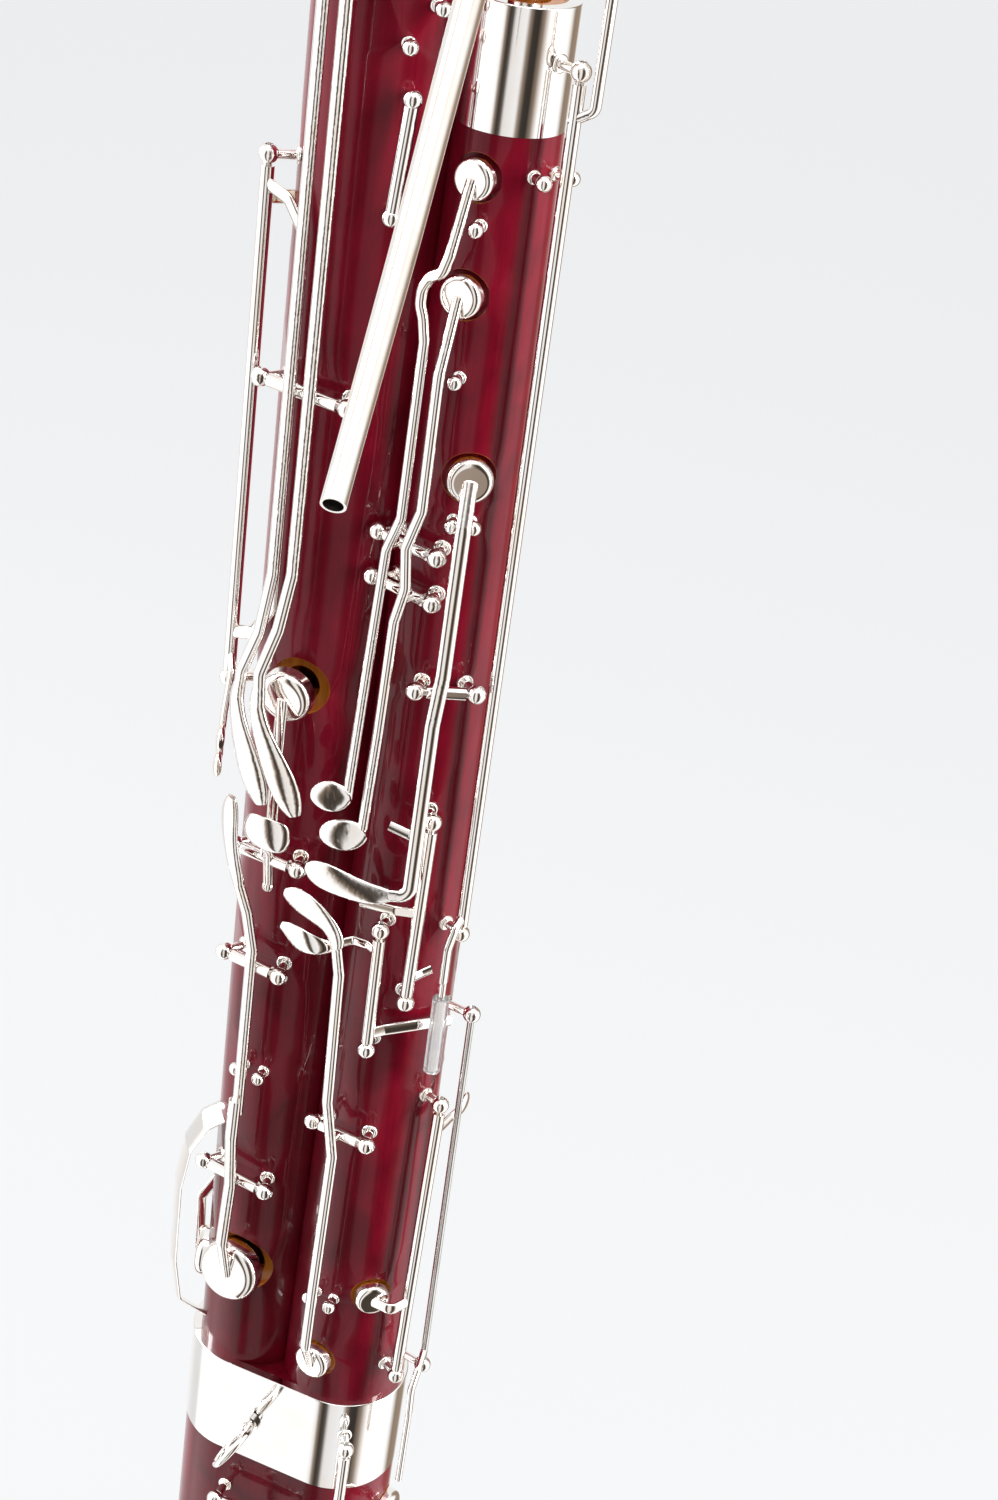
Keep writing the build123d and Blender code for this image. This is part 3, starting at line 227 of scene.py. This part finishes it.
def plain(name, low, high, scale, rough, distance, **values):
    """Two-tone matt surface with a fine texture."""
    s = Shader(name)
    cloud = s.noise(scale, detail=5)
    s.link(s.ramp(cloud, [(0.35, low), (0.68, high)]), s.surface.inputs["Base Color"])
    s.link(s.scaled(cloud, rough - 0.06, rough + 0.06), s.surface.inputs["Roughness"])
    s.bump(s.noise(scale * 3, detail=3), distance, 0.5)
    s.set(**values)
    return s.material


silver = plated("silver_plate", (0.95, 0.93, 0.91), (0.95, 0.87, 0.80), 0.05)
band_silver = plated("band_silver", (0.93, 0.92, 0.91), (0.92, 0.87, 0.82), 0.045, 0.03)
crook_silver = plated("crook_silver", (0.93, 0.89, 0.85), (0.93, 0.82, 0.72), 0.12, 0.08)
steel = plated("rod_steel", (0.70, 0.69, 0.68), (0.60, 0.57, 0.54), 0.16)
brass = plated("brass", (0.80, 0.62, 0.30), (0.62, 0.42, 0.18), 0.2)
leather = plain("pad_leather", (0.66, 0.55, 0.40), (0.82, 0.73, 0.58), 260, 0.55, 0.00005)
rubber = plain("hard_rubber", (0.012, 0.012, 0.013), (0.03, 0.028, 0.028), 120, 0.35, 0.00002)
cork = plain("cork", (0.36, 0.19, 0.09), (0.62, 0.40, 0.22), 420, 0.8, 0.0001)
thread = plain("thread", (0.30, 0.04, 0.03), (0.52, 0.10, 0.07), 700, 0.85, 0.0001)


def clear_plastic():
    s = Shader("clear_sleeve")
    cloud = s.noise(300)
    tint = s.ramp(cloud, [(0.3, (0.90, 0.91, 0.92)), (0.7, (0.97, 0.97, 0.97))])
    s.link(tint, s.surface.inputs["Base Color"])
    s.set(Transmission_Weight=0.85, Roughness=0.12, IOR=1.46)
    return s.material


sleeve = clear_plastic()

# ---------------------------------------------------------------- which node gets which
BANDS = ("boot_band", "boot_cap", "wing_band", "long_band", "bell_band", "bell_ring")
OTHERS = {"bocal": crook_silver, "pivot_rods": steel, "u_tube": brass, "bore_lining": rubber,
          "bocal_cork": cork, "tenon_wraps": thread, "whisper_sleeve": sleeve}


def finish_for(name):
    if name in SEATS:
        return lacquered("lacquer_" + name, SEATS[name], AXIS_X[name], CORE[name])
    if name in BANDS:
        return band_silver
    if name.endswith("_pad"):
        return leather
    return OTHERS.get(name, silver)


for name, node in nodes.items():
    material = finish_for(name)
    for material_slot in node.material_slots:
        material_slot.material = material

# ---------------------------------------------------------------- floor, world and lights
FLOOR_SIZE = 14.0
floor_mesh = bpy.data.meshes.new("floor")
work = bmesh.new()
bmesh.ops.create_grid(work, x_segments=1, y_segments=1, size=FLOOR_SIZE / 2)
work.to_mesh(floor_mesh)
work.free()
floor = bpy.data.objects.new("floor", floor_mesh)
scene.collection.objects.link(floor)
floor_shader = Shader("floor_pale")
floor_shader.set(Base_Color=(0.17, 0.17, 0.17, 1), Roughness=0.8, Emission_Color=(0.97, 0.985, 1.0, 1),
                 Emission_Strength=0.74)
floor.data.materials.append(floor_shader.material)
floor.visible_glossy = False
floor.visible_diffuse = False

# Seen directly the room is plain and pale; it lights the object through white panels with dark gaps between.
# Each strip: bearing in degrees, brightness, warmth.
REFLECTED = [(-180, 0.8, 0), (-165, 1.5, 0), (-140, 1.6, 0), (-120, 1.25, 0), (-106, 1.05, 0),
             (-101, 0.30, 0.8), (-95, 0.04, 0.6), (-88, 0.10, 0.6), (-82, 0.85, 0.1), (-60, 0.95, 0),
             (-54, 0.32, 0.8), (-46, 0.05, 0.6), (-35, 0.04, 0.6), (-25, 0.3, 0.8), (-12, 1.2, 0.1),
             (20, 1.5, 0), (44, 1.0, 0), (56, 0.30, 0.9), (80, 0.35, 0.9), (94, 0.9, 0), (140, 0.95, 0),
             (165, 0.8, 0)]
# How far a fully warm strip's green and blue fall below its red.
WARM_GREEN = 0.28
WARM_BLUE = 0.5
# Share of the room's light that matt surfaces get, so that the wood's front stays deep.
DIFFUSE_SHARE = 0.32
world = bpy.data.worlds.new("studio")
scene.world = world
world.use_nodes = True
tree = world.node_tree
tree.nodes.clear()


def wired(kind, *sources, **settings):
    node = tree.nodes.new(kind)
    for key, value in settings.items():
        setattr(node, key, value)
    for index, source in enumerate(sources):
        if source is not None:
            tree.links.new(source, node.inputs[index])
    return node


direction = wired("ShaderNodeSeparateXYZ", wired("ShaderNodeTexCoord").outputs["Generated"])
bearing = wired("ShaderNodeMath", direction.outputs["Y"], direction.outputs["X"], operation="ARCTAN2")
turn_share = wired("ShaderNodeMapRange", bearing.outputs[0])
turn_share.inputs["From Min"].default_value = -math.pi
turn_share.inputs["From Max"].default_value = math.pi
strips = wired("ShaderNodeValToRGB", turn_share.outputs[0])
fill_ramp(strips.color_ramp, [
    ((angle + 180) / 360, (light, light * (1 - WARM_GREEN * warm), light * (1 - WARM_BLUE * warm)))
    for angle, light, warm in REFLECTED])
overhead = wired("ShaderNodeMapRange", direction.outputs["Z"])
overhead.inputs["From Min"].default_value = 0.55
overhead.inputs["From Max"].default_value = 0.85
ceiling = wired("ShaderNodeMix", data_type="RGBA")
tree.links.new(overhead.outputs[0], ceiling.inputs[COLOUR_MIX["factor"]])
tree.links.new(strips.outputs["Color"], ceiling.inputs[COLOUR_MIX["a"]])
ceiling.inputs[COLOUR_MIX["b"]].default_value = (1, 1, 1, 1)
room = wired("ShaderNodeBackground", ceiling.outputs[COLOUR_MIX["result"]])
dimmed = wired("ShaderNodeMapRange", wired("ShaderNodeLightPath").outputs["Is Diffuse Ray"])
dimmed.inputs["To Min"].default_value = 1.0
dimmed.inputs["To Max"].default_value = DIFFUSE_SHARE
tree.links.new(dimmed.outputs[0], room.inputs["Strength"])
pale = wired("ShaderNodeBackground")
pale.inputs["Color"].default_value = (0.93, 0.95, 1.0, 1)
pale.inputs["Strength"].default_value = 1.0
straight = wired("ShaderNodeLightPath").outputs["Is Camera Ray"]
seen = wired("ShaderNodeMixShader", straight, room.outputs[0], pale.outputs[0])
wired("ShaderNodeOutputWorld", seen.outputs[0])


def softbox(name, at, towards, size, power, colour=(1, 1, 1)):
    light = bpy.data.lights.new(name, "AREA")
    light.shape = "RECTANGLE"
    light.size, light.size_y = size
    light.energy = power
    light.color = colour
    lamp = bpy.data.objects.new(name, light)
    scene.collection.objects.link(lamp)
    aim = (Vector(towards) - Vector(at)).to_track_quat("-Z", "Y")
    lamp.matrix_world = Matrix.Translation(at) @ aim.to_matrix().to_4x4()


MIDDLE = (0, 0, 0.7)
softbox("left_box", (-1.75, -0.15, 1.4), MIDDLE, (0.4, 2.0), 26)
softbox("right_box", (1.65, 0.0, 1.3), MIDDLE, (0.3, 1.8), 30, (1, 0.97, 0.95))
softbox("top_box", (0.2, -0.4, 2.8), MIDDLE, (1.6, 1.6), 16)
